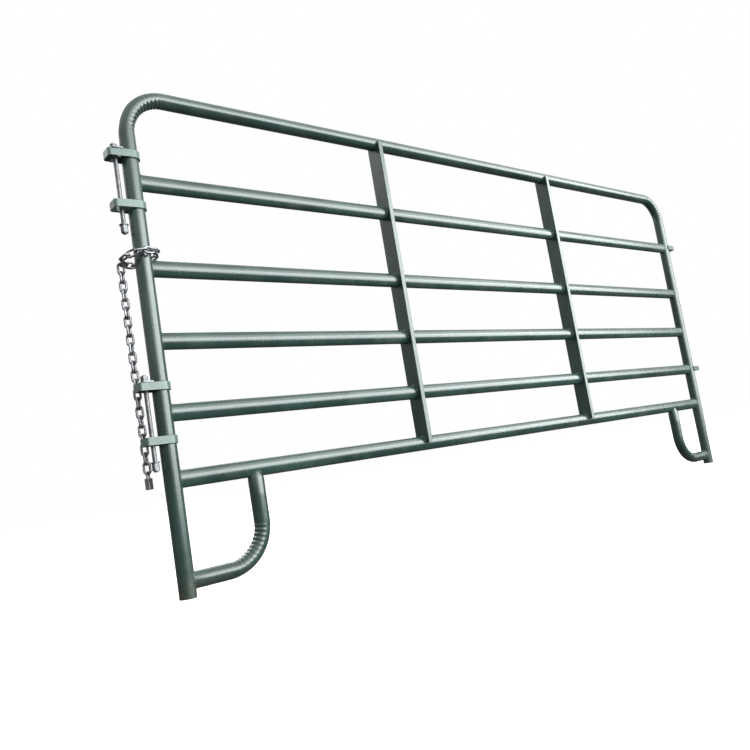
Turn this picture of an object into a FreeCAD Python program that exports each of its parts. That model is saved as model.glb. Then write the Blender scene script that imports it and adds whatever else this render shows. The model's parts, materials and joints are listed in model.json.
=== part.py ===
"""Six-rail livestock corral panel with drop-pin connectors and a tie chain.

Millimetres, +Z up. X runs along the rails, -Y is the front, and the origin is on the
ground under the middle of the panel. Each piece is written to parts/NAME.step.
"""
import FreeCAD
import Part
import math
import os

V = FreeCAD.Vector

# ---- driving dimensions -------------------------------------------------------------
LENGTH = 3048.0            # over the outer faces of the two uprights
HEIGHT = 1490.0            # ground to the top of the top rail
TUBE_R = 24.15             # outer radius of the round tube: uprights, top rail and feet
RAIL_HALF_TALL = 25.4      # the five rails below the top one are oval
RAIL_HALF_DEEP = 17.5
RAIL_END_R = 14.0          # arcs at the top and bottom of an oval rail
WALL = 2.0                 # wall of every tube
BEND_R = 127.0             # centre line of the hoop's bends
RAIL_GAPS = (273.0, 259.0, 214.0, 207.0, 188.0)   # between rail centres, top rail down
WELD_GAP = 0.2             # fit-up gap under the welds, at every notched end

STAY_X = (-530.0, 487.0)   # centres of the two stays
STAY_WIDTH = 20.0
STAY_DEPTH = 66.0
STAY_CORNER_R = 3.0

FOOT_SPAN = 260.0          # upright centre to the foot's vertical leg
FOOT_BEND_R = 125.0
FOOT_CLEARANCE = 45.0      # ground to the centre of the foot's level run

STRAP_HEIGHT = 22.0
STRAP_THICK = 4.5
STRAP_REACH = 70.0         # upright centre to the strap's outer face
STRAP_END_HALF = 20.0      # half of the loop's inner width at its outer end
STRAP_CORNER_R = 5.0       # inner radius of the two outer corners
STRAP_OFFSET = 76.0        # strap centre above or below the rail that its pair straddles

PIN_R = 6.35
PIN_OUT = 43.0             # upright centre to the pin
PIN_TOP_OVER_HEAD = 3.0
PIN_TIP = 4.0              # pin below its lower nut
NUT_FLATS = 19.0
HEAD_HEIGHT = 17.0
NUT_HEIGHT = 22.0
PIN_DROP = 45.0            # lower strap's underside to the top of the washer
PLATE_X = 34.0
PLATE_Y = 58.0
PLATE_THICK = 4.0
PLATE_CORNER_R = 4.0
WASHER_R = 13.0
WASHER_THICK = 2.5
BORE_PLAY = 0.05           # radial play of a nut on the pin
PLATE_PLAY = 0.25          # radial play of a plate or washer on the pin

WIRE_R = 3.5               # chain wire
LINK_PITCH = 26.5          # inside length of a link
LINK_BEND_R = 8.7          # centre line of a link's round ends
LINK_SLACK = 0.3           # play between two hanging links
RING_LINKS = 12            # links wrapped round the upright
RING_PLAY = 1.5            # how far a link sits into its neighbour's round end
RING_TILT = 12.0           # degrees, the hanging side is the lower one
RING_SHIFT = 11.0          # ring centre from the upright's centre
RING_HEIGHT = 34.0         # ring centre above the centre of the third rail
HANG_ANGLE = 135.0         # where the tail hangs round the upright, degrees from +X
TAIL_GROUPS = (3, 3, 3, 3, 3, 3, 3, 2)            # links in each piece of the tail

SHACKLE_WIRE_R = 2.5
SHACKLE_BEND_R = 8.0
SHACKLE_RISE = 10.0        # lock body's top to the centre of the shackle's bend
LONG_LEG = 16.0            # shackle leg lengths inside the lock body
SHORT_LEG = 6.0
LEG_PLAY = 0.05
LEG_HOLE_EXTRA = 9.0       # free depth under each leg
LOCK_SIZE = (26.0, 14.0, 32.0)
LOCK_EDGE_R = 2.5

# ---- values worked out from them ----------------------------------------------------
UPRIGHT_X = LENGTH / 2 - TUBE_R
RAIL_Z = [HEIGHT - TUBE_R]
for rail_gap in RAIL_GAPS:
    RAIL_Z.append(RAIL_Z[-1] - rail_gap)
LEFT_STRAP_RAILS = (("upper", RAIL_Z[1]), ("lower", RAIL_Z[4]))
LINK_HALF = LINK_PITCH / 2 + WIRE_R                # link centre to an end of its centre line
LINK_STRAIGHT = LINK_HALF - LINK_BEND_R            # half of a link's straight side
OUTWARD = V(math.cos(math.radians(HANG_ANGLE)), math.sin(math.radians(HANG_ANGLE)), 0)
UP = V(0, 0, 1)
ALONG = OUTWARD.cross(UP)                          # level, square to OUTWARD


def save(name, shape):
    """Write one piece, a solid or a compound of solids."""
    shape.exportStep("parts/" + name + ".step")


def one_solid(pieces):
    """Fuse touching pieces and drop the seams between them."""
    return pieces[0].multiFuse(pieces[1:]).removeSplitter().Solids[0]


def ring_face(centre, direction, outer_r, inner_r):
    """Flat annulus, the section of a tube."""
    circles = [Part.Wire(Part.makeCircle(r, centre, direction)) for r in (outer_r, inner_r)]
    return Part.makeFace(circles, "Part::FaceMakerBullseye")


def straight_tube(start, end):
    """Hollow tube between two points."""
    run = end - start
    return ring_face(start, run, TUBE_R, TUBE_R - WALL).extrude(run)


def bent_tube(start, direction, centre, axis, degrees=90):
    """Hollow tube bend that starts at a point and turns about an axis."""
    return ring_face(start, direction, TUBE_R, TUBE_R - WALL).revolve(centre, axis, degrees)


def rod(start, end, radius):
    """Full cylinder between two points."""
    run = end - start
    return Part.makeCylinder(radius, run.Length, start, run)


def belt_face(circles):
    """Flat face bounded by a belt stretched round circles (x, y, r), counter-clockwise."""
    count = len(circles)
    leaving = []
    for i in range(count):
        x1, y1, r1 = circles[i]
        x2, y2, r2 = circles[(i + 1) % count]
        heading = math.atan2(y2 - y1, x2 - x1)
        leaving.append(heading - math.acos((r1 - r2) / math.hypot(x2 - x1, y2 - y1)))

    def on_circle(circle, angle):
        x, y, r = circle
        return V(x + r * math.cos(angle), y + r * math.sin(angle), 0)

    edges = []
    for i in range(count):
        circle = circles[i]
        following = circles[(i + 1) % count]
        arrive = leaving[i - 1]
        leave = leaving[i]
        while leave < arrive:
            leave += 2 * math.pi
        middle = (arrive + leave) / 2
        arc = Part.Arc(on_circle(circle, arrive), on_circle(circle, middle), on_circle(circle, leave))
        edges.append(arc.toShape())
        edges.append(Part.makeLine(on_circle(circle, leave), on_circle(following, leave)))
    return Part.Face(Part.Wire(edges))


def rounded_box(size_x, size_y, size_z, corner_r):
    """Box centred in X and Y on the origin, from z = 0 up, with its upright edges rounded."""
    half_x = size_x / 2 - corner_r
    half_y = size_y / 2 - corner_r
    corners = ((-half_x, -half_y), (half_x, -half_y), (half_x, half_y), (-half_x, half_y))
    return belt_face([(x, y, corner_r) for x, y in corners]).extrude(V(0, 0, size_z))


def moved(shape, offset):
    """Copy of a shape, shifted."""
    copy = shape.copy()
    copy.translate(offset)
    return copy


# ---- frame --------------------------------------------------------------------------
def oval(z, extra):
    """Outline of an oval rail, four tangent arcs at the left upright's axis, grown by extra."""
    end_z = RAIL_HALF_TALL - RAIL_END_R
    gain = RAIL_HALF_DEEP - RAIL_END_R
    side_y = (end_z ** 2 - gain ** 2) / (2 * gain)   # level distance to the centre of a side arc
    slant = math.hypot(side_y, end_z)
    end_r = RAIL_END_R + extra
    join_y = end_r * side_y / slant
    join_z = end_z + end_r * end_z / slant
    tall = RAIL_HALF_TALL + extra
    deep = RAIL_HALF_DEEP + extra
    corners = ((-join_y, join_z), (join_y, join_z), (join_y, -join_z), (-join_y, -join_z))
    crowns = ((0, tall), (deep, 0), (0, -tall), (-deep, 0))
    edges = []
    for i in range(4):
        through = (corners[i], crowns[i], corners[(i + 1) % 4])
        arc = Part.Arc(*[V(-UPRIGHT_X, y, z + height) for y, height in through])
        edges.append(arc.toShape())
    return Part.Wire(edges)


def rail_bar(z):
    """Full bar that clears one oval rail."""
    return Part.Face(oval(z, WELD_GAP)).extrude(V(2 * UPRIGHT_X, 0, 0))


def top_rail_bar():
    """Full bar that clears the round top rail."""
    return rod(V(-UPRIGHT_X, 0, RAIL_Z[0]), V(UPRIGHT_X, 0, RAIL_Z[0]), TUBE_R + WELD_GAP)


def upright_bar(side):
    """Full bar that clears one upright; side is -1 for left and 1 for right."""
    return rod(V(side * UPRIGHT_X, 0, 0), V(side * UPRIGHT_X, 0, HEIGHT), TUBE_R + WELD_GAP)


def hoop():
    """Left upright, top rail and right upright, bent from one tube."""
    top = RAIL_Z[0]
    bend_x = UPRIGHT_X - BEND_R
    bend_z = top - BEND_R
    pieces = [straight_tube(V(-bend_x, 0, top), V(bend_x, 0, top))]
    for side in (-1, 1):
        pieces.append(straight_tube(V(side * UPRIGHT_X, 0, 0), V(side * UPRIGHT_X, 0, bend_z)))
        start = V(side * UPRIGHT_X, 0, bend_z)
        pieces.append(bent_tube(start, UP, V(side * bend_x, 0, bend_z), V(0, -side, 0)))
    return one_solid(pieces)


def rail(z):
    """Straight oval rail with both ends notched to fit the uprights."""
    section = Part.makeFace([oval(z, 0), oval(z, -WALL)], "Part::FaceMakerBullseye")
    tube = section.extrude(V(2 * UPRIGHT_X, 0, 0))
    between = tube.cut([upright_bar(-1), upright_bar(1)])
    return max(between.Solids, key=lambda solid: solid.Volume)


def stay(x):
    """Flat tube that the middle rails run through, notched onto the top and bottom rails."""
    low = RAIL_Z[-1]
    tall = RAIL_Z[0] - low
    outer = rounded_box(STAY_WIDTH, STAY_DEPTH, tall, STAY_CORNER_R)
    inner = rounded_box(STAY_WIDTH - 2 * WALL, STAY_DEPTH - 2 * WALL, tall, STAY_CORNER_R - WALL)
    tube = moved(outer.cut(inner), V(x, 0, low))
    return tube.cut([top_rail_bar()] + [rail_bar(z) for z in RAIL_Z[1:]]).Solids[0]


def foot(side):
    """J-shaped skid: level run from the upright, bend, and leg up to the bottom rail."""
    leg_x = UPRIGHT_X - FOOT_SPAN
    bend_x = leg_x + FOOT_BEND_R
    level = FOOT_CLEARANCE
    bend_z = level + FOOT_BEND_R
    run = straight_tube(V(side * UPRIGHT_X, 0, level), V(side * bend_x, 0, level))
    bend = bent_tube(V(side * bend_x, 0, level), V(side, 0, 0), V(side * bend_x, 0, bend_z), V(0, side, 0))
    leg = straight_tube(V(side * leg_x, 0, bend_z), V(side * leg_x, 0, RAIL_Z[-1]))
    whole = one_solid([run, bend, leg])
    notched = whole.cut([upright_bar(side), rail_bar(RAIL_Z[-1])])
    return max(notched.Solids, key=lambda solid: solid.Volume)


# ---- connector straps and drop pins -------------------------------------------------
def band():
    """Flat bar bent right round an upright at the origin, with a square-ended loop toward -X."""
    end_x = STRAP_REACH - STRAP_THICK - STRAP_CORNER_R
    end_y = STRAP_END_HALF - STRAP_CORNER_R
    inner = [(0, 0, TUBE_R + WELD_GAP), (-end_x, end_y, STRAP_CORNER_R), (-end_x, -end_y, STRAP_CORNER_R)]
    outer = [(x, y, r + STRAP_THICK) for x, y, r in inner]
    tall = V(0, 0, STRAP_HEIGHT)
    return belt_face(outer).extrude(tall).cut(belt_face(inner).extrude(tall))


def strap(z):
    """Closed band on the left upright."""
    return moved(band(), V(-UPRIGHT_X, 0, z - STRAP_HEIGHT / 2))


def lug(z):
    """Open band on the right upright, level with a rail, ending on the upright's flanks."""
    wide = 4 * TUBE_R
    open_band = band().cut(Part.makeBox(wide, wide, STRAP_HEIGHT, V(0, -wide / 2, 0)))
    open_band.rotate(V(0, 0, 0), UP, 180)
    return moved(open_band, V(UPRIGHT_X, 0, z - STRAP_HEIGHT / 2)).Solids[0]


def hex_block(tall, bore_r):
    """Hexagon nut from z = 0 up, with its corners chamfered at both ends."""
    corner_r = NUT_FLATS / math.sqrt(3)
    points = [V(corner_r * math.cos(i * math.pi / 3), corner_r * math.sin(i * math.pi / 3), 0) for i in range(7)]
    prism = Part.Face(Part.makePolygon(points)).extrude(V(0, 0, tall))
    blank = Part.makeCylinder(corner_r, tall)
    chamfer = corner_r - NUT_FLATS / 2
    blank = blank.makeChamfer(chamfer * 0.6, chamfer, [e for e in blank.Edges if e.Closed])
    return prism.common(blank).cut(Part.makeCylinder(bore_r, tall)).Solids[0]


def pin_pieces(rail_z):
    """Drop pin through one pair of straps, with what is fixed on it."""
    seat = rail_z + STRAP_OFFSET + STRAP_HEIGHT / 2
    head = seat + PLATE_THICK
    washer = rail_z - STRAP_OFFSET - STRAP_HEIGHT / 2 - PIN_DROP - WASHER_THICK
    nut = washer - NUT_HEIGHT
    axis = V(-UPRIGHT_X - PIN_OUT, 0, 0)
    low = axis + V(0, 0, nut - PIN_TIP)
    high = axis + V(0, 0, head + HEAD_HEIGHT + PIN_TOP_OVER_HEAD)
    bar = rod(low, high, PIN_R)
    bar = bar.makeChamfer(1.5, [e for e in bar.Edges if e.Closed])
    hole_r = PIN_R + PLATE_PLAY
    plate = rounded_box(PLATE_X, PLATE_Y, PLATE_THICK, PLATE_CORNER_R)
    plate = plate.cut(Part.makeCylinder(hole_r, PLATE_THICK))
    disc = Part.makeCylinder(WASHER_R, WASHER_THICK).cut(Part.makeCylinder(hole_r, WASHER_THICK))
    return {
        "rod": bar,
        "head": moved(hex_block(HEAD_HEIGHT, PIN_R + BORE_PLAY), axis + V(0, 0, head)),
        "plate": moved(plate, axis + V(0, 0, seat)),
        "washer": moved(disc, axis + V(0, 0, washer)),
        "nut": moved(hex_block(NUT_HEIGHT, PIN_R + BORE_PLAY), axis + V(0, 0, nut)),
    }


# ---- chain and padlock --------------------------------------------------------------
def placed(shape, centre, long_axis, across):
    """Copy of a shape with its X turned to long_axis, its Y to across, at a centre."""
    normal = long_axis.cross(across)
    matrix = FreeCAD.Matrix(
        long_axis.x, across.x, normal.x, centre.x,
        long_axis.y, across.y, normal.y, centre.y,
        long_axis.z, across.z, normal.z, centre.z,
        0, 0, 0, 1)
    copy = shape.copy()
    copy.Placement = FreeCAD.Placement(matrix)
    return copy


def chain_link():
    """One welded link, lengthways along X and flat in XY."""
    pieces = []
    for side in (-1, 1):
        start = V(side * LINK_STRAIGHT, 0, 0)
        section = Part.Face(Part.Wire(Part.makeCircle(WIRE_R, start + V(0, -side * LINK_BEND_R, 0), V(1, 0, 0))))
        pieces.append(section.revolve(start, UP, 180))
        leg_y = side * LINK_BEND_R
        pieces.append(rod(V(-LINK_STRAIGHT, leg_y, 0), V(LINK_STRAIGHT, leg_y, 0), WIRE_R))
    return one_solid(pieces)


def ring_frame():
    """Centre, lowest-side direction and normal of the tilted ring of links."""
    tilt = math.radians(RING_TILT)
    centre = V(-UPRIGHT_X, 0, RAIL_Z[2] + RING_HEIGHT) + OUTWARD * RING_SHIFT
    radial = OUTWARD * math.cos(tilt) - UP * math.sin(tilt)
    normal = UP * math.cos(tilt) + OUTWARD * math.sin(tilt)
    return centre, radial, normal


def ring_radii():
    """Distance from the ring's centre to its flat links and to its upright links."""
    step = 2 * math.pi / RING_LINKS
    upright_link = (LINK_STRAIGHT + RING_PLAY + LINK_HALF * math.cos(step)) / math.sin(step)
    flat_link = upright_link * math.cos(step) + LINK_HALF * math.sin(step)
    return flat_link, upright_link


def chain_wrap(link):
    """Closed ring of links round the upright; every second link lies in the ring's plane."""
    centre, radial, normal = ring_frame()
    sideways = normal.cross(radial)
    radii = ring_radii()
    links = []
    for i in range(RING_LINKS):
        angle = 2 * math.pi * i / RING_LINKS
        out = radial * math.cos(angle) + sideways * math.sin(angle)
        along = normal.cross(out)
        across = out if i % 2 == 0 else normal
        links.append(placed(link, centre + out * radii[i % 2], along, across))
    return Part.makeCompound(links)


def hang_point():
    """Centre of the wire that the tail hangs from."""
    centre, radial, normal = ring_frame()
    return centre + radial * (ring_radii()[0] + LINK_BEND_R)


def tail_link_centre(index):
    """Centre of a hanging link; the first hangs over the ring's lowest wire."""
    first = 2 * WIRE_R + LINK_SLACK / 2 - LINK_HALF
    return hang_point() + UP * (first - index * (LINK_PITCH - LINK_SLACK))


def chain_tail(link):
    """The hanging links, in groups that turn on each other."""
    groups = []
    index = 0
    for size in TAIL_GROUPS:
        links = []
        for i in range(index, index + size):
            across = OUTWARD if i % 2 == 0 else ALONG
            links.append(placed(link, tail_link_centre(i), UP * -1, across))
        groups.append(Part.makeCompound(links))
        index += size
    return groups


def lock_top():
    """Middle of the lock body's top face."""
    last = tail_link_centre(sum(TAIL_GROUPS) - 1)
    crown = last - UP * LINK_HALF
    bend_top = crown + UP * (WIRE_R + SHACKLE_WIRE_R + LINK_SLACK)
    return bend_top - UP * (SHACKLE_BEND_R + SHACKLE_RISE)


def lock_shackle():
    """Round bar bent over, with one leg longer than the other."""
    section = Part.Face(Part.Wire(Part.makeCircle(SHACKLE_WIRE_R, V(SHACKLE_BEND_R, 0, 0), V(0, 1, 0))))
    pieces = [section.revolve(V(0, 0, 0), V(0, 0, 1), 180)]
    for side, inside in ((-1, LONG_LEG), (1, SHORT_LEG)):
        start = V(side * SHACKLE_BEND_R, 0, 0)
        pieces.append(rod(start, start - V(0, SHACKLE_RISE + inside, 0), SHACKLE_WIRE_R))
    return placed(one_solid(pieces), lock_top() + UP * SHACKLE_RISE, ALONG, UP)


def lock_body():
    """Rounded block with two leg holes in its top."""
    width, thick, tall = LOCK_SIZE
    block = Part.makeBox(width, tall, thick, V(-width / 2, -tall, -thick / 2))
    block = block.makeFillet(LOCK_EDGE_R, block.Edges)
    holes = []
    for side, inside in ((-1, LONG_LEG), (1, SHORT_LEG)):
        start = V(side * SHACKLE_BEND_R, 0, 0)
        deep = V(0, inside + LEG_HOLE_EXTRA, 0)
        holes.append(rod(start, start - deep, SHACKLE_WIRE_R + LEG_PLAY))
    return placed(block.cut(holes).Solids[0], lock_top(), ALONG, UP)


os.makedirs("parts", exist_ok=True)

save("hoop_tube", hoop())
for number, rail_z in enumerate(RAIL_Z[1:], start=2):
    save("rail_%d" % number, rail(rail_z))
save("stay_left", stay(STAY_X[0]))
save("stay_right", stay(STAY_X[1]))
save("foot_left", foot(-1))
save("foot_right", foot(1))

for level, rail_z in LEFT_STRAP_RAILS:
    save("strap_%s_top" % level, strap(rail_z + STRAP_OFFSET))
    save("strap_%s_bottom" % level, strap(rail_z - STRAP_OFFSET))
    save("lug_%s" % level, lug(rail_z))
    for piece, shape in pin_pieces(rail_z).items():
        save("%s_pin_%s" % (level, piece), shape)

base_link = chain_link()
save("chain_wrap", chain_wrap(base_link))
for number, group in enumerate(chain_tail(base_link), start=1):
    save("chain_tail_%d" % number, group)
save("lock_shackle", lock_shackle())
save("lock_body", lock_body())
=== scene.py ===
import json
import math
import random

import bmesh
import bpy
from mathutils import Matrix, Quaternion, Vector


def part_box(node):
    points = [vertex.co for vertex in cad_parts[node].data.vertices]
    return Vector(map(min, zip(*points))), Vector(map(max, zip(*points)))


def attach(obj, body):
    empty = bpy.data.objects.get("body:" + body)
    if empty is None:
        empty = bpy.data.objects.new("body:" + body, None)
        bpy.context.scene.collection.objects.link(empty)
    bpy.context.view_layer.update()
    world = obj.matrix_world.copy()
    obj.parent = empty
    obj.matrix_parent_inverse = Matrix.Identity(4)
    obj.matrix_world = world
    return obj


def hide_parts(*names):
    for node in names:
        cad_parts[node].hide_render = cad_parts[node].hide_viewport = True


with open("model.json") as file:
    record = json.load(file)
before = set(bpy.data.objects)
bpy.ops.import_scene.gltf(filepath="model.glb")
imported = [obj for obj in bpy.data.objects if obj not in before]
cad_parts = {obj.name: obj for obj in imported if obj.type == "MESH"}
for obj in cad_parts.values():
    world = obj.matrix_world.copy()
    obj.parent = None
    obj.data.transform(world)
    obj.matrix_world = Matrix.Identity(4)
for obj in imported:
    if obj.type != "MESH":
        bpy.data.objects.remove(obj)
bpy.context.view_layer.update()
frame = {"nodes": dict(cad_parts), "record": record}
scene = bpy.context.scene
rng = random.Random(11)

# ---- sizes that the looks share with the CAD model, in metres ------------------------
TUBE_R = 0.02415           # uprights, top rail and feet
RAIL_TALL = 0.0254         # half axes of the oval rails
RAIL_DEEP = 0.0175
WALL = 0.002
FIT_UP = 0.0002            # gap under a weld
BEND_R = 0.127             # hoop bends, centre line
FOOT_BEND_R = 0.125        # foot bends, centre line
WIRE_R = 0.0035            # chain wire
LINK_HALF = 0.01675        # link centre to an end of its centre line
LINK_BEND_R = 0.0087       # centre line of a link's round ends
X_AXIS, Y_AXIS, Z_AXIS = Vector((1, 0, 0)), Vector((0, 1, 0)), Vector((0, 0, 1))


def middle(node):
    """Centre of a CAD node's box."""
    low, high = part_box(node)
    return (low + high) / 2


UPRIGHT_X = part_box("hoop_tube")[1].x - TUBE_R
TOP_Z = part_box("hoop_tube")[1].z - TUBE_R
RAIL_Z = {i: middle("rail_%d" % i).z for i in range(2, 7)}


# ---- materials -----------------------------------------------------------------------
class Nodes:
    """A material's node tree, with short calls to add and join nodes."""

    def __init__(self, name):
        self.material = bpy.data.materials.new(name)
        self.material.use_nodes = True
        self.tree = self.material.node_tree
        self.shader = self.tree.nodes["Principled BSDF"]
        self.place = self.add("ShaderNodeTexCoord").outputs["Object"]

    def add(self, kind, **values):
        """A node with its named properties and inputs set; an input may be a socket."""
        node = self.tree.nodes.new(kind)
        for key, value in values.items():
            if hasattr(node, key):
                setattr(node, key, value)
            else:
                self.put(node.inputs[key.replace("_", " ")], value)
        return node

    def put(self, socket, value):
        if isinstance(value, bpy.types.NodeSocket):
            self.tree.links.new(value, socket)
        else:
            socket.default_value = value

    def set(self, **values):
        for key, value in values.items():
            self.put(self.shader.inputs[key.replace("_", " ")], value)

    def stretched(self, x, y, z):
        """The object's coordinates, scaled along each axis."""
        node = self.add("ShaderNodeMapping")
        self.put(node.inputs["Vector"], self.place)
        node.inputs["Scale"].default_value = (x, y, z)
        return node.outputs["Vector"]

    def noise(self, scale, detail=3.0, roughness=0.5, where=None):
        node = self.add("ShaderNodeTexNoise", Scale=scale, Detail=detail, Roughness=roughness)
        self.put(node.inputs["Vector"], where or self.place)
        return node.outputs["Fac"]

    def ramp(self, value, low, high, to_low=0.0, to_high=1.0):
        """A value mapped from one range to another, clamped."""
        node = self.add("ShaderNodeMapRange")
        for i, v in enumerate((value, low, high, to_low, to_high)):
            self.put(node.inputs[i], v)
        return node.outputs["Result"]

    def math(self, operation, a, b=0.0):
        node = self.add("ShaderNodeMath", operation=operation)
        self.put(node.inputs[0], a)
        self.put(node.inputs[1], b)
        return node.outputs[0]

    def mix(self, factor, a, b):
        """Two colours mixed."""
        node = self.add("ShaderNodeMix", data_type="RGBA")
        for socket, value in ((node.inputs[0], factor), (node.inputs[6], a), (node.inputs[7], b)):
            self.put(socket, value)
        return node.outputs[2]

    def axis(self, which):
        node = self.add("ShaderNodeSeparateXYZ", Vector=self.place)
        return node.outputs[which]

    def bump(self, height, distance, strength=1.0, under=None):
        node = self.add("ShaderNodeBump", Height=height, Distance=distance, Strength=strength)
        if under is not None:
            self.put(node.inputs["Normal"], under)
        return node.outputs["Normal"]


def paint(name, light, dark, rough=0.26, grime=0.25):
    """Gloss paint over steel: colour drift, orange peel, dust, chips and mud near the ground."""
    n = Nodes(name)
    colour = n.mix(n.ramp(n.noise(5.0, 4.0), 0.35, 0.65), dark, light)
    streak = n.noise(9.0, 5.0, 0.6, n.stretched(1.0, 1.0, 0.25))
    dust = n.math("MULTIPLY", n.ramp(streak, 0.48, 0.75), grime)
    colour = n.mix(dust, colour, (0.120, 0.150, 0.130, 1))
    low = n.ramp(n.axis("Z"), 0.075, 0.0)
    low = n.math("MULTIPLY", low, n.ramp(n.noise(60.0, 5.0), 0.35, 0.6))
    colour = n.mix(n.math("MULTIPLY", low, 0.5), colour, (0.105, 0.070, 0.040, 1))
    chip = n.ramp(n.noise(140.0, 2.0, 0.4), 0.755, 0.765)
    colour = n.mix(chip, colour, (0.17, 0.15, 0.12, 1))
    peel = n.bump(n.noise(420.0, 2.0), 0.0001, 0.06)
    dents = n.bump(n.noise(16.0, 2.0), 0.0008, 0.1, peel)
    cloud = n.ramp(n.noise(35.0, 4.0), 0.3, 0.7, rough - 0.05, rough + 0.06)
    roughness = n.math("ADD", n.math("MULTIPLY", dust, 0.3), cloud)
    roughness = n.math("ADD", roughness, n.math("MULTIPLY", low, 0.3))
    n.set(Base_Color=colour, Roughness=roughness, Normal=dents)
    n.set(Coat_Weight=0.7, Coat_Roughness=0.2)
    return n.material


def zinc(name, tone, rough=0.34, stain=0.4):
    """Zinc plate: metal with a cloudy tone, dull patches and a little dirt."""
    n = Nodes(name)
    cloudy = n.noise(55.0, 4.0, 0.6)
    bright = tuple(c * tone for c in (0.60, 0.60, 0.63)) + (1,)
    dull = tuple(c * tone for c in (0.26, 0.26, 0.28)) + (1,)
    colour = n.mix(n.ramp(cloudy, 0.35, 0.65), dull, bright)
    dirt = n.math("MULTIPLY", n.ramp(n.noise(130.0, 5.0, 0.6), 0.5, 0.75), stain)
    colour = n.mix(dirt, colour, (0.08, 0.07, 0.06, 1))
    grain = n.bump(n.noise(700.0, 3.0), 0.0001, 0.6)
    metal = n.math("SUBTRACT", 1.0, dirt)
    spread = n.ramp(cloudy, 0.3, 0.7, rough - 0.06, rough + 0.14)
    n.set(Base_Color=colour, Metallic=metal, Roughness=spread, Normal=grain)
    return n.material


GREEN_LIGHT = (0.024, 0.056, 0.048, 1)
GREEN_DARK = (0.013, 0.034, 0.029, 1)
# strap paint: the frame's green made lighter, a painted highlight for the light that the strap
# faces catch; its light and dark pair is random tone
STRAP_PAINTED_SHEEN_LIGHT = (0.095, 0.160, 0.138, 1)
STRAP_PAINTED_SHEEN_DARK = (0.060, 0.110, 0.094, 1)
MATERIALS = {
    "tube_paint": paint("tube_paint", GREEN_LIGHT, GREEN_DARK),
    "stay_paint": paint("stay_paint", GREEN_LIGHT, GREEN_DARK, 0.3),
    "strap_paint": paint("strap_paint", STRAP_PAINTED_SHEEN_LIGHT, STRAP_PAINTED_SHEEN_DARK, 0.38, 0.4),
    "weld_paint": paint("weld_paint", GREEN_LIGHT, GREEN_DARK, 0.34, 0.45),
    "pin_zinc": zinc("pin_zinc", 0.48, 0.45),
    "chain_zinc": zinc("chain_zinc", 0.8, 0.32),
    "lock_steel": zinc("lock_steel", 0.6, 0.4, 0.55),
}


def dress(obj, material):
    """Give an object one material."""
    obj.data.materials.clear()
    obj.data.materials.append(MATERIALS[material])


# ---- mesh building -------------------------------------------------------------------
def mesh_object(name, verts, faces, material, body, smooth=True):
    """A named piece that rides on a body and takes its finish from a slot."""
    data = bpy.data.meshes.new(name)
    data.from_pydata([tuple(v) for v in verts], [], faces)
    data.validate()
    if smooth:
        data.shade_smooth()
    obj = bpy.data.objects.new(name, data)
    scene.collection.objects.link(obj)
    dress(obj, material)
    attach(obj, body)
    return obj


def loft(rings, closed=False, caps=False, first=0):
    """Vertices and faces that join equal rings of points in order; first offsets the indices."""
    count = len(rings[0])
    verts = [v for ring in rings for v in ring]
    faces = []
    last = len(rings) if closed else len(rings) - 1
    for i in range(last):
        a, b = i * count, (i + 1) % len(rings) * count
        for j in range(count):
            k = (j + 1) % count
            faces.append((first + a + j, first + a + k, first + b + k, first + b + j))
    if caps:
        faces.append(tuple(first + j for j in reversed(range(count))))
        faces.append(tuple(first + (len(rings) - 1) * count + j for j in range(count)))
    return verts, faces


def rings_along(points, radius, sides=16, closed=False):
    """Rings of points round a path, with no twist; radius(i, angle) may vary."""
    total = len(points)
    rings = []
    guide = None
    for i, p in enumerate(points):
        before = points[i - 1] if i or closed else p
        after = points[(i + 1) % total] if i < total - 1 or closed else p
        heading = (after - before).normalized()
        if guide is None:
            guide = heading.orthogonal().normalized()
        guide = (guide - heading * guide.dot(heading)).normalized()
        side = heading.cross(guide)
        ring = []
        for j in range(sides):
            angle = 2 * math.pi * j / sides
            ring.append(p + (guide * math.cos(angle) + side * math.sin(angle)) * radius(i, angle))
        rings.append(ring)
    return rings


# ---- bent tubes with wrinkled bends --------------------------------------------------
WRINKLES = 13              # in each 90 degree bend
WRINKLE_DEPTH = 0.0023
WRINKLE_FADE = 7           # a wrinkle is full deep after this fraction of a bend: 1 in 7
WRINKLE_REACH = 0.2        # how far wrinkles run past the middle of the tube's side
OUTER_FLAT = 0.0012        # how much the outside of a bend is flattened
STATION_PITCH = 0.0155     # along a bend's centre line, STATIONS rings to each
STATIONS = 8
RING_SIDES = 56
NEAR_BEND = 0.002          # straight ring just before or after a hoop bend
PINCHED_DEEP = 0.016       # half depth of a foot tube at its two welded ends
PINCH_LENGTH = 0.030


def bend_stations(start, heading, inward, radius, degrees=90):
    """Stations (point, inward direction, bend share) along an arc that turns toward inward."""
    total = radius * math.radians(degrees)
    steps = int(total / STATION_PITCH) * STATIONS
    centre = start + inward * radius
    stations = []
    for i in range(steps + 1):
        angle = math.radians(degrees) * i / steps
        toward = inward * math.cos(angle) - heading * math.sin(angle)
        stations.append((centre - toward * radius, toward, i / steps))
    return stations


def bend_ring(point, inward, share, r, wrinkled):
    """One ring of a tube in the XZ plane; wrinkles fade out at both ends of the bend."""
    fade = 0.0
    if 0 < share < 1:
        fade = min(1.0, WRINKLE_FADE * share, WRINKLE_FADE * (1 - share))
    ripple = 0.5 - 0.5 * math.cos(2 * math.pi * WRINKLES * share)
    ring = []
    for j in range(RING_SIDES):
        angle = 2 * math.pi * j / RING_SIDES
        outward = inward * math.cos(angle) + Y_AXIS * math.sin(angle)
        cut = 0.0
        if wrinkled:
            facing = max(0.0, (math.cos(angle) + WRINKLE_REACH) / (1 + WRINKLE_REACH)) ** 1.2
            cut = WRINKLE_DEPTH * fade * facing * ripple
            cut += OUTER_FLAT * fade * max(0.0, -math.cos(angle)) ** 3
        ring.append(point + outward * (r - cut))
    return ring


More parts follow.
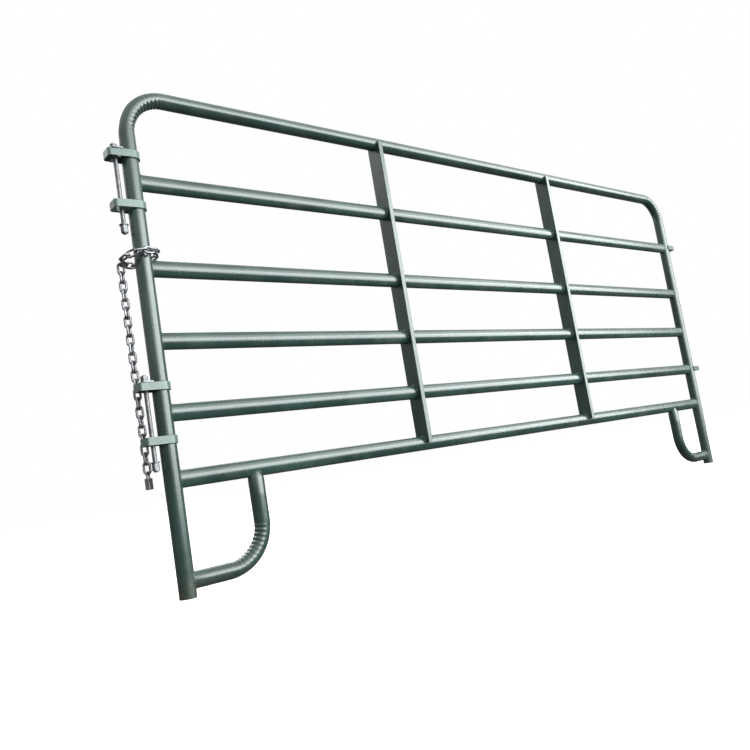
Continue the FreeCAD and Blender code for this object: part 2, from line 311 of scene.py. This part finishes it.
def tube(name, stations, replaced):
    """Open-ended hollow tube through stations, in place of a CAD node."""
    outer = [bend_ring(p, inward, share, TUBE_R, True) for p, inward, share in stations]
    inner = [bend_ring(p, inward, share, TUBE_R - WALL, False) for p, inward, share in stations]
    count = len(outer[0])
    verts, faces = loft(outer)
    inside = len(verts)
    inner_verts, inner_faces = loft(inner, first=inside)
    faces += [tuple(reversed(f)) for f in inner_faces]
    for end, forward in ((0, False), (len(outer) - 1, True)):
        for j in range(count):
            a, b = end * count + j, end * count + (j + 1) % count
            quad = (a, b, inside + b, inside + a)
            faces.append(quad if forward else tuple(reversed(quad)))
    obj = mesh_object(name, verts + inner_verts, faces, "tube_paint", "panel_frame")
    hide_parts(replaced)
    return obj


def hoop():
    """The hoop's centre line: up the left upright, over the top and down the right one."""
    bend_x = UPRIGHT_X - BEND_R
    bend_z = TOP_Z - BEND_R
    heights = (0, NEAR_BEND, 0.4, 0.8, bend_z - NEAR_BEND)
    stations = [(Vector((-UPRIGHT_X, 0, z)), X_AXIS, 0.0) for z in heights]
    stations += bend_stations(Vector((-UPRIGHT_X, 0, bend_z)), Z_AXIS, X_AXIS, BEND_R)
    for x in (-0.9, 0, 0.9):
        stations.append((Vector((x, 0, TOP_Z)), -Z_AXIS, 0.0))
    stations += bend_stations(Vector((bend_x, 0, TOP_Z)), X_AXIS, -Z_AXIS, BEND_R)
    stations += [(Vector((UPRIGHT_X, 0, z)), -X_AXIS, 0.0) for z in reversed(heights)]
    return tube("hoop_bent_tube", stations, "hoop_tube")


def foot(side):
    """A foot's centre line: level from the upright, round the bend and up to the rail."""
    low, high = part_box("foot_left" if side < 0 else "foot_right")
    level_z = low.z + TUBE_R
    leg_x = (high.x if side < 0 else low.x) + side * TUBE_R
    bend_x = leg_x + side * FOOT_BEND_R
    inward = Vector((-side, 0, 0))
    start = UPRIGHT_X * side
    along = (start, start - side * (TUBE_R + PINCH_LENGTH), (start + bend_x) / 2)
    stations = [(Vector((x, 0, level_z)), Z_AXIS, 0.0) for x in along]
    stations += bend_stations(Vector((bend_x, 0, level_z)), inward, Z_AXIS, FOOT_BEND_R)
    bend_z = level_z + FOOT_BEND_R
    heights = (bend_z + 0.003, bend_z + 0.07, RAIL_Z[6] - PINCH_LENGTH, RAIL_Z[6])
    stations += [(Vector((leg_x, 0, z)), -inward, 0.0) for z in heights]
    return stations


def notched_foot(side, name, replaced):
    """Foot tube, its ends pinched narrower and fitted to the upright and the bottom rail."""
    rings = [bend_ring(p, inward, share, TUBE_R, True) for p, inward, share in foot(side)]
    start, end = foot(side)[0][0], foot(side)[-1][0]
    for v in rings[0] + rings[-1]:
        v.y *= PINCHED_DEEP / TUBE_R
    for v in rings[0]:
        v.x = start.x - side * math.sqrt((TUBE_R + FIT_UP) ** 2 - v.y ** 2)
    for v in rings[-1]:
        v.z = end.z - (RAIL_TALL + FIT_UP) * math.sqrt(1 - (v.y / RAIL_DEEP) ** 2)
    verts, faces = loft(rings)
    if side > 0:
        faces = [tuple(reversed(f)) for f in faces]
    obj = mesh_object(name, verts, faces, "tube_paint", "panel_frame")
    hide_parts(replaced)
    return obj


hoop()
notched_foot(-1, "foot_left_bent_tube", "foot_left")
notched_foot(1, "foot_right_bent_tube", "foot_right")

# ---- weld beads ----------------------------------------------------------------------
BEAD_R = 0.0024
STAY_BEAD_R = 0.0021
STRAP_BEAD_R = 0.0023
LUG_EDGE_BEAD_R = 0.0022
BEAD_OUT = 0.001           # bead centre from the upright's surface, at straps and lugs
RIPPLE = 0.0042            # one fish scale of a bead
BEAD_STEP = 0.0009


def resampled(points, step, closed):
    """Points at an even spacing along a path of straight pieces."""
    points = [Vector(p) for p in points]
    if closed:
        points.append(points[0])
    lengths = [(b - a).length for a, b in zip(points, points[1:])]
    total = sum(lengths)
    count = max(8, round(total / step))
    even, i, passed = [], 0, 0.0
    for k in range(count if closed else count + 1):
        target = total * k / count
        while i < len(lengths) - 1 and passed + lengths[i] < target:
            passed += lengths[i]
            i += 1
        share = (target - passed) / lengths[i] if lengths[i] else 0.0
        even.append(points[i].lerp(points[i + 1], min(1.0, max(0.0, share))))
    return even, total


def bead(name, points, radius=BEAD_R, closed=True):
    """A weld bead along a path: overlapping scales of uneven size, tapered where it ends."""
    path, total = resampled(points, BEAD_STEP, closed)
    scales = max(3, round(total / RIPPLE))
    sizes = [rng.uniform(0.86, 1.12) for _ in range(scales + 1)]
    sizes[-1] = sizes[0]

    def width(i, angle):
        place = scales * i / len(path)
        scale = min(int(place), scales - 1)
        share = place - scale
        size = sizes[scale] * (1 - share) + sizes[scale + 1] * share
        crest = 0.88 + 0.16 * math.sqrt(max(0.0, 1 - (2 * share - 1) ** 2))
        end = 1.0
        if not closed:
            end = min(1.0, 0.35 + 6.0 * min(i, len(path) - 1 - i) / len(path))
        return radius * size * crest * end

    verts, faces = loft(rings_along(path, width, 10, closed), closed, not closed)
    return mesh_object(name, verts, faces, "weld_paint", "panel_frame")


def saddle(end, toward, across, half_across, half_third):
    """Where a tube with these two half axes, coming from toward, meets an upright along across."""
    third = toward.cross(across)
    points = []
    for i in range(96):
        angle = 2 * math.pi * i / 96
        side = half_third * math.cos(angle)
        reach = math.sqrt(max(0.0, TUBE_R ** 2 - side ** 2))
        points.append(end + third * side + across * half_across * math.sin(angle) + toward * reach)
    return points


def ring(centre, u, v, radius, start=0.0, stop=360.0, radius_v=None, count=72):
    """Points on a circle or ellipse, or on part of it, in degrees from u toward v."""
    angles = [math.radians(start + (stop - start) * i / count) for i in range(count + 1)]
    radius_v = radius_v or radius
    points = [centre + u * math.cos(a) * radius + v * math.sin(a) * radius_v for a in angles]
    return points[:-1] if stop - start >= 360 else points


for rail, z in RAIL_Z.items():
    for side, word in ((-1, "left"), (1, "right")):
        end = Vector((side * UPRIGHT_X, 0, z))
        joint = saddle(end, Vector((-side, 0, 0)), Z_AXIS, RAIL_TALL, RAIL_DEEP)
        bead("weld_rail_%d_%s" % (rail, word), joint)

for side, word in ((-1, "left"), (1, "right")):
    low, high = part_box("foot_" + word)
    level_z = low.z + TUBE_R
    leg_x = (high.x if side < 0 else low.x) + side * TUBE_R
    end = Vector((side * UPRIGHT_X, 0, level_z))
    joint = saddle(end, Vector((-side, 0, 0)), Z_AXIS, TUBE_R, PINCHED_DEEP)
    bead("weld_foot_%s_upright" % word, joint)
    joint = []
    for x, y, z in ring(Vector((leg_x, 0, 0)), X_AXIS, Y_AXIS, TUBE_R, radius_v=PINCHED_DEEP):
        joint.append(Vector((x, y, RAIL_Z[6] - RAIL_TALL * math.sqrt(1 - (y / RAIL_DEEP) ** 2))))
    bead("weld_foot_%s_rail" % word, joint)

for stay in ("stay_left", "stay_right"):
    low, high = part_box(stay)
    for rail, z in [(1, TOP_Z)] + list(RAIL_Z.items()):
        for x, word in ((low.x, "a"), (high.x, "b")):
            deep, tall = (TUBE_R, TUBE_R) if rail == 1 else (RAIL_DEEP, RAIL_TALL)
            start, stop = {1: (180, 360), 6: (0, 180)}.get(rail, (0, 360))
            points = ring(Vector((x, 0, z)), Y_AXIS, Z_AXIS, deep, start, stop, tall)
            bead("weld_%s_rail_%d_%s" % (stay, rail, word), points,
                 radius=STAY_BEAD_R, closed=rail not in (1, 6))

# straps: a bead along the band's upper and lower edge, on the tube's front and back
for strap in ("strap_upper_top", "strap_upper_bottom", "strap_lower_top", "strap_lower_bottom"):
    low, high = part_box(strap)
    for z, edge in ((high.z, "over"), (low.z, "under")):
        for start, face in ((-125.0, "front"), (55.0, "back")):
            place = Vector((-UPRIGHT_X, 0, z))
            points = ring(place, X_AXIS, Y_AXIS, TUBE_R + BEAD_OUT, start, start + 70.0)
            bead("weld_%s_%s_%s" % (strap, edge, face), points,
                 radius=STRAP_BEAD_R, closed=False)

# lugs: a bead down each end of the bar, where it lands on the upright's flanks
for lug in ("lug_upper", "lug_lower"):
    low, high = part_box(lug)
    for side, face, start in ((-1, "front", -90.0), (1, "back", 60.0)):
        x, y = UPRIGHT_X + FIT_UP, side * (TUBE_R + 0.0012)
        bead("weld_%s_%s" % (lug, face), [(x, y, low.z), (x, y, high.z)],
             radius=STRAP_BEAD_R, closed=False)
        for z, edge in ((high.z, "over"), (low.z, "under")):
            place = Vector((UPRIGHT_X, 0, z))
            points = ring(place, X_AXIS, Y_AXIS, TUBE_R + BEAD_OUT, start, start + 30.0)
            bead("weld_%s_%s_%s" % (lug, edge, face), points,
                 radius=LUG_EDGE_BEAD_R, closed=False)

# ---- chain ---------------------------------------------------------------------------
LINK_BEND_POINTS = 25      # path points on each round end of a link
LINK_LEG_PARTS = 12        # parts of each straight leg


def islands(node):
    """The separate solids of a CAD node, each as its list of points."""
    shape = bmesh.new()
    shape.from_mesh(frame["nodes"][node].data)
    bmesh.ops.remove_doubles(shape, verts=shape.verts, dist=1e-6)
    left = set(shape.verts)
    found = []
    while left:
        stack = [left.pop()]
        points = []
        while stack:
            vert = stack.pop()
            points.append(vert.co.copy())
            for edge in vert.link_edges:
                other = edge.other_vert(vert)
                if other in left:
                    left.discard(other)
                    stack.append(other)
        found.append(points)
    shape.free()
    return found


def link_axes(points):
    """Centre, lengthways direction and sideways direction of one link."""
    centre = Vector([(min(p[i] for p in points) + max(p[i] for p in points)) / 2
                     for i in range(3)])
    arms = [p - centre for p in points]
    longest = max(arms, key=lambda arm: arm.length)
    ends = [arm for arm in arms if arm.length > 0.98 * longest.length and arm.dot(longest) > 0]
    along = sum(ends, Vector()).normalized()
    flat = [arm - along * arm.dot(along) for arm in arms]
    widest = max(flat, key=lambda v: v.length)
    near = [v for v in flat if v.length > 0.96 * widest.length and v.dot(widest) > 0]
    return centre, along, sum(near, Vector()).normalized()


def chain_links(name, node, body):
    """Smooth welded links in place of a chain node, each with a flash weld on one leg."""
    verts, faces = [], []
    found = [link_axes(points) for points in islands(node)]
    found.sort(key=lambda item: (round(item[0].z, 4), round(item[0].x, 4), round(item[0].y, 4)))
    for centre, along, across in found:
        half = LINK_HALF - LINK_BEND_R
        path = []
        for side in (1, -1):
            for i in range(LINK_BEND_POINTS):
                angle = math.radians(-90 + 180 * i / (LINK_BEND_POINTS - 1))
                out = along * (half + LINK_BEND_R * math.cos(angle))
                path.append(centre + (out + across * LINK_BEND_R * math.sin(angle)) * side)
            for k in range(1, LINK_LEG_PARTS):
                leg = along * half * (1 - 2 * k / LINK_LEG_PARTS)
                path.append(centre + (across * LINK_BEND_R + leg) * side)
        bulge = LINK_BEND_POINTS + 5 + (0 if rng.random() < 0.5 else len(path) // 2)
        swell = rng.uniform(0.07, 0.12)

        def width(i, angle):
            return WIRE_R * (1 + swell * math.exp(-((i - bulge) / 1.3) ** 2))

        ring_points = rings_along(path, width, 14, True)
        more, quads = loft(ring_points, closed=True, first=len(verts))
        verts += more
        faces += quads
    obj = mesh_object(name, verts, faces, "chain_zinc", body)
    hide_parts(node)
    return obj


chain_links("chain_wrap_links", "chain_wrap", "panel_frame")
for part in sorted(name for name in frame["nodes"] if name.startswith("chain_tail_")):
    chain_links(part + "_links", part, part)

# ---- carried-over nodes --------------------------------------------------------------
SLOTS = {part["node"]: part["material_slot"] for part in frame["record"]["subparts"]}
for node, obj in frame["nodes"].items():
    dress(obj, SLOTS[node])

# ---- floor, light, camera ------------------------------------------------------------
CAMERA_PLACE = Vector((-2.3470, -1.9340, 0.2743))
CAMERA_AZIMUTH = 40.01     # heading, degrees from +Y toward +X
CAMERA_ELEVATION = 5.81
CAMERA_ROLL = -9.33
FOCAL_MM = 34.95           # on a 36 mm wide frame
RISE = 0.0206              # principal point below the frame's middle, in frame widths
SKY_LIGHT = 1.05           # what the panel sees high up, and at and below the horizon
GROUND_LIGHT = 0.12
SKY_HEIGHT = 0.6           # sine of the elevation where the sky light is full
STUDIO_TINT = (0.93, 1.0, 0.99)
LIGHT_DISTANCE = 9.0

FLOOR_HALF = 60.0
corners = [(x * FLOOR_HALF, y * FLOOR_HALF, 0) for x, y in ((-1, -1), (1, -1), (1, 1), (-1, 1))]
floor_mesh = bpy.data.meshes.new("floor")
floor_mesh.from_pydata(corners, [], [(0, 1, 2, 3)])
floor = bpy.data.objects.new("floor", floor_mesh)
scene.collection.objects.link(floor)
floor_nodes = Nodes("floor_plain")
floor_nodes.set(Base_Color=(0.88, 0.88, 0.88, 1), Roughness=1.0, Specular_IOR_Level=0.0)
floor_nodes.set(Emission_Color=(1, 1, 1, 1), Emission_Strength=0.44)
floor_mesh.materials.append(floor_nodes.material)

floor.visible_diffuse = False      # the pale floor throws no light up at the panel
floor.visible_glossy = False

world = bpy.data.worlds.new("studio")
scene.world = world
world.use_nodes = True
tree = world.node_tree
seen = tree.nodes.new("ShaderNodeLightPath").outputs["Is Camera Ray"]
direction = tree.nodes.new("ShaderNodeTexCoord").outputs["Generated"]
height = tree.nodes.new("ShaderNodeSeparateXYZ")
tree.links.new(direction, height.inputs[0])
sky = tree.nodes.new("ShaderNodeMapRange")
tree.links.new(height.outputs["Z"], sky.inputs[0])
for i, value in enumerate((0.0, SKY_HEIGHT, GROUND_LIGHT, SKY_LIGHT), start=1):
    sky.inputs[i].default_value = value
strength = tree.nodes.new("ShaderNodeMix")
tree.links.new(seen, strength.inputs[0])
tree.links.new(sky.outputs[0], strength.inputs[2])
strength.inputs[3].default_value = 1.0
background = tree.nodes["Background"]
background.inputs["Color"].default_value = (1, 1, 1, 1)
tree.links.new(strength.outputs[0], background.inputs["Strength"])
scene.view_settings.view_transform = "Standard"


def from_angles(azimuth, elevation):
    """Unit vector that heads azimuth degrees from +Y toward +X, and up by elevation."""
    a, e = math.radians(azimuth), math.radians(elevation)
    return Vector((math.sin(a) * math.cos(e), math.cos(a) * math.cos(e), math.sin(e)))


def softbox(name, azimuth, elevation, width, height, power):
    """Rectangular light that faces the panel's middle: degrees, metres and watts."""
    data = bpy.data.lights.new(name, "AREA")
    data.shape = "RECTANGLE"
    data.size = width
    data.size_y = height
    data.energy = power
    data.color = STUDIO_TINT
    obj = bpy.data.objects.new(name, data)
    toward = from_angles(azimuth, elevation)
    obj.location = Vector((0, 0, 0.75)) + toward * LIGHT_DISTANCE
    obj.rotation_mode = "QUATERNION"
    obj.rotation_quaternion = (-toward).to_track_quat("-Z", "Y")
    scene.collection.objects.link(obj)
    return obj


softbox("key", 149.0, 11.0, 11.5, 4.6, 1280)
softbox("upper_key", 149.0, 33.0, 11.5, 4.5, 420)
softbox("fill", 194.0, 14.0, 5.0, 4.5, 180)
softbox("back", 350.0, 42.0, 9.0, 4.0, 340)

camera_data = bpy.data.cameras.new("camera")
camera_data.lens = FOCAL_MM
camera_data.sensor_width = 36.0
camera_data.shift_y = RISE
camera_data.clip_end = 200.0
camera = bpy.data.objects.new("camera", camera_data)
forward = from_angles(CAMERA_AZIMUTH, CAMERA_ELEVATION)
level = forward.to_track_quat("-Z", "Y")
camera.rotation_mode = "QUATERNION"
camera.rotation_quaternion = Quaternion(forward, math.radians(-CAMERA_ROLL)) @ level
camera.location = CAMERA_PLACE
scene.collection.objects.link(camera)
scene.camera = camera
